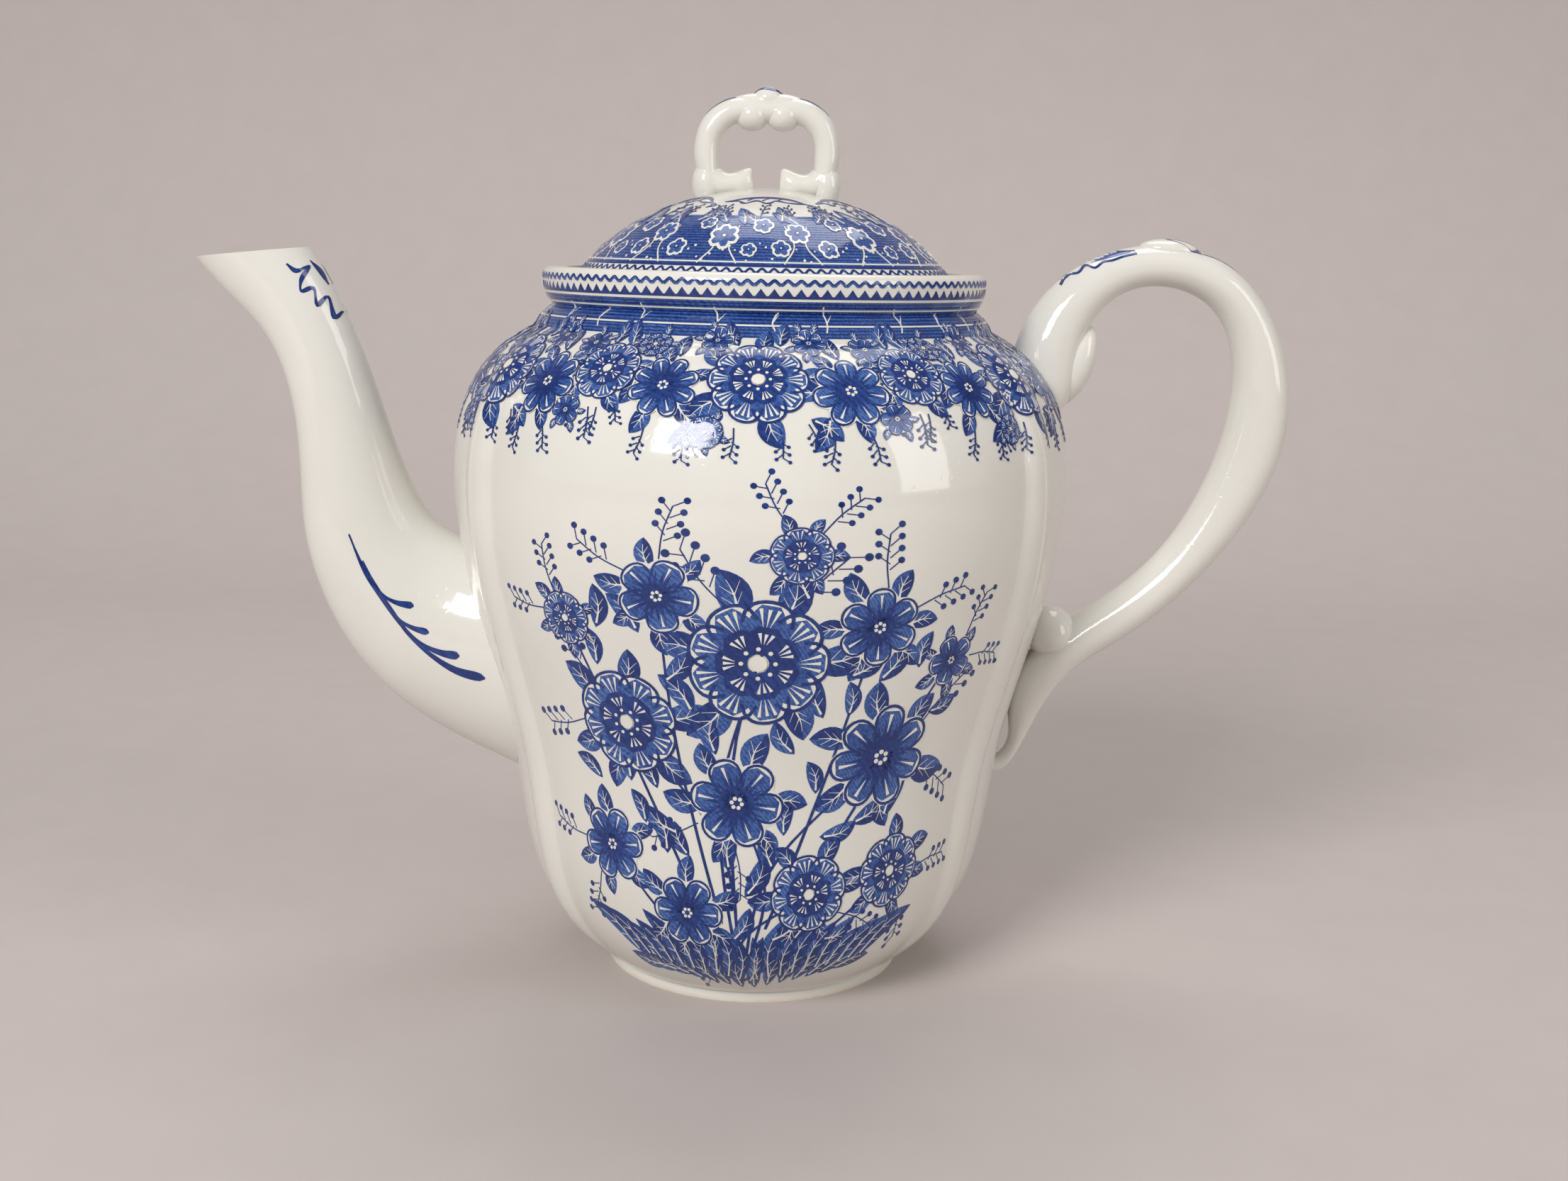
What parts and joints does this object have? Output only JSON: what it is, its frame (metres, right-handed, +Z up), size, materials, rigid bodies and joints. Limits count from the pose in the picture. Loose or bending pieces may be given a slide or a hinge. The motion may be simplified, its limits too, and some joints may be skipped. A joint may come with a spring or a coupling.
{
  "type": "coffee pot",
  "caption": "Tall lobed earthenware pot with a swan-neck spout, a scrolled handle and a domed lift-off lid with an open loop knob.",
  "frame": {"origin": "centre of the foot ring on the table plane, on the turning axis of the pot and its lid", "axes": "+Z up along the pot's axis, -X towards the spout, +X towards the handle, -Y is the front face"},
  "size_m": [0.2452, 0.138, 0.198],
  "materials": {
    "cream_glaze": "glossy clear glaze over cream earthenware, printed and painted in cobalt blue"
  },
  "bodies": {
    "pot": {"pot_body": "cream_glaze", "spout": "cream_glaze", "handle": "cream_glaze"},
    "lid": {"lid": "cream_glaze", "lid_knob": "cream_glaze"}
  },
  "joints": [
    {"name": "lid_lift", "type": "slide", "parent": "pot", "child": "lid", "axis": [0, 0, 1], "range_m": [0, 0.06]}
  ]
}
